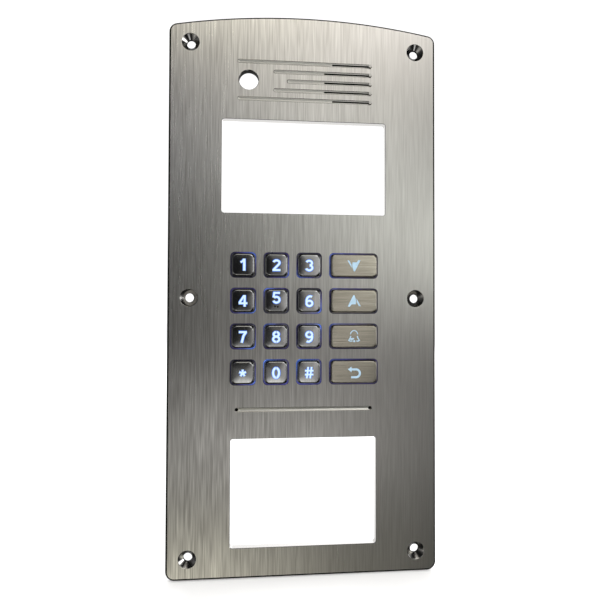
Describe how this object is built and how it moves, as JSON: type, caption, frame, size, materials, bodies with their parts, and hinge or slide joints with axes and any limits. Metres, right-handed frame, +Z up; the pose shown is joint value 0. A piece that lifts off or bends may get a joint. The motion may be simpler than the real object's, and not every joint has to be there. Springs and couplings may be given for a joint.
{
  "type": "door intercom panel",
  "caption": "Brushed metal door intercom faceplate with an arched top, display and reader windows, camera hole, slotted speaker grille and a backlit push-button keypad.",
  "frame": {"origin": "middle of the six-screw pattern on the rear face of the faceplate, which lies against the wall box", "axes": "+X to the right seen from the front, +Z up, +Y into the wall; the front faces -Y"},
  "size_m": [0.155, 0.0222, 0.3213],
  "materials": {
    "faceplate": "vertically brushed, satin, warm ivory to grey reflections",
    "square_key": "dark satin plating with polished rounded edges",
    "wide_key": "horizontally brushed, warm golden grey",
    "legend_light": "translucent, lit from behind in cool white with a blue edge",
    "black_rubber": "matt moulded rubber",
    "black_foam": "closed-cell foam",
    "black_plastic": "fine moulded texture",
    "white_silicone": "translucent milky silicone",
    "circuit_board": "green solder mask with copper tracks",
    "chip_black": "moulded epoxy",
    "zinc_sheet": "zinc-plated pressed steel sheet",
    "magnet": "dark ferrite with a plated back plate",
    "speaker_film": "thin pressed film",
    "fasteners": "bright zinc plating"
  },
  "bodies": {
    "panel": {"front_panel": "faceplate", "keypad_gasket": "black_rubber", "keypad_frame": "black_plastic", "keypad_mat": "white_silicone", "keypad_board": "circuit_board", "keypad_controller": "chip_black", "keypad_header": "black_plastic", "keypad_cover": "zinc_sheet", "keypad_nut_1": "fasteners", "keypad_nut_2": "fasteners", "keypad_nut_3": "fasteners", "keypad_nut_4": "fasteners", "speaker_seal": "black_foam", "speaker_basket": "zinc_sheet", "speaker_cone": "speaker_film", "speaker_magnet": "magnet", "speaker_clamp": "zinc_sheet", "speaker_nut_1": "fasteners", "speaker_nut_2": "fasteners", "keypad_stud_1": "fasteners", "keypad_stud_2": "fasteners", "keypad_stud_3": "fasteners", "keypad_stud_4": "fasteners", "speaker_stud_1": "fasteners", "speaker_stud_2": "fasteners"},
    "button_1": {"key_1": "square_key", "light_guide_1": "legend_light"},
    "button_2": {"key_2": "square_key", "light_guide_2": "legend_light"},
    "button_3": {"key_3": "square_key", "light_guide_3": "legend_light"},
    "button_down": {"key_down": "wide_key", "light_guide_down": "legend_light"},
    "button_4": {"key_4": "square_key", "light_guide_4": "legend_light"},
    "button_5": {"key_5": "square_key", "light_guide_5": "legend_light"},
    "button_6": {"key_6": "square_key", "light_guide_6": "legend_light"},
    "button_up": {"key_up": "wide_key", "light_guide_up": "legend_light"},
    "button_7": {"key_7": "square_key", "light_guide_7": "legend_light"},
    "button_8": {"key_8": "square_key", "light_guide_8": "legend_light"},
    "button_9": {"key_9": "square_key", "light_guide_9": "legend_light"},
    "button_bell": {"key_bell": "wide_key", "light_guide_bell": "legend_light"},
    "button_star": {"key_star": "square_key", "light_guide_star": "legend_light"},
    "button_0": {"key_0": "square_key", "light_guide_0": "legend_light"},
    "button_hash": {"key_hash": "square_key", "light_guide_hash": "legend_light"},
    "button_return": {"key_return": "wide_key", "light_guide_return": "legend_light"}
  },
  "joints": [
    {"name": "press_1", "type": "slide", "parent": "panel", "child": "button_1", "axis": [0, 1, 0], "range_m": [0, 0.0008], "stiffness_N_per_m": 2000, "deforming": ["keypad_mat"]},
    {"name": "press_2", "type": "slide", "parent": "panel", "child": "button_2", "axis": [0, 1, 0], "range_m": [0, 0.0008], "stiffness_N_per_m": 2000, "deforming": ["keypad_mat"]},
    {"name": "press_3", "type": "slide", "parent": "panel", "child": "button_3", "axis": [0, 1, 0], "range_m": [0, 0.0008], "stiffness_N_per_m": 2000, "deforming": ["keypad_mat"]},
    {"name": "press_down", "type": "slide", "parent": "panel", "child": "button_down", "axis": [0, 1, 0], "range_m": [0, 0.0008], "stiffness_N_per_m": 2000, "deforming": ["keypad_mat"]},
    {"name": "press_4", "type": "slide", "parent": "panel", "child": "button_4", "axis": [0, 1, 0], "range_m": [0, 0.0008], "stiffness_N_per_m": 2000, "deforming": ["keypad_mat"]},
    {"name": "press_5", "type": "slide", "parent": "panel", "child": "button_5", "axis": [0, 1, 0], "range_m": [0, 0.0008], "stiffness_N_per_m": 2000, "deforming": ["keypad_mat"]},
    {"name": "press_6", "type": "slide", "parent": "panel", "child": "button_6", "axis": [0, 1, 0], "range_m": [0, 0.0008], "stiffness_N_per_m": 2000, "deforming": ["keypad_mat"]},
    {"name": "press_up", "type": "slide", "parent": "panel", "child": "button_up", "axis": [0, 1, 0], "range_m": [0, 0.0008], "stiffness_N_per_m": 2000, "deforming": ["keypad_mat"]},
    {"name": "press_7", "type": "slide", "parent": "panel", "child": "button_7", "axis": [0, 1, 0], "range_m": [0, 0.0008], "stiffness_N_per_m": 2000, "deforming": ["keypad_mat"]},
    {"name": "press_8", "type": "slide", "parent": "panel", "child": "button_8", "axis": [0, 1, 0], "range_m": [0, 0.0008], "stiffness_N_per_m": 2000, "deforming": ["keypad_mat"]},
    {"name": "press_9", "type": "slide", "parent": "panel", "child": "button_9", "axis": [0, 1, 0], "range_m": [0, 0.0008], "stiffness_N_per_m": 2000, "deforming": ["keypad_mat"]},
    {"name": "press_bell", "type": "slide", "parent": "panel", "child": "button_bell", "axis": [0, 1, 0], "range_m": [0, 0.0008], "stiffness_N_per_m": 2000, "deforming": ["keypad_mat"]},
    {"name": "press_star", "type": "slide", "parent": "panel", "child": "button_star", "axis": [0, 1, 0], "range_m": [0, 0.0008], "stiffness_N_per_m": 2000, "deforming": ["keypad_mat"]},
    {"name": "press_0", "type": "slide", "parent": "panel", "child": "button_0", "axis": [0, 1, 0], "range_m": [0, 0.0008], "stiffness_N_per_m": 2000, "deforming": ["keypad_mat"]},
    {"name": "press_hash", "type": "slide", "parent": "panel", "child": "button_hash", "axis": [0, 1, 0], "range_m": [0, 0.0008], "stiffness_N_per_m": 2000, "deforming": ["keypad_mat"]},
    {"name": "press_return", "type": "slide", "parent": "panel", "child": "button_return", "axis": [0, 1, 0], "range_m": [0, 0.0008], "stiffness_N_per_m": 2000, "deforming": ["keypad_mat"]}
  ]
}
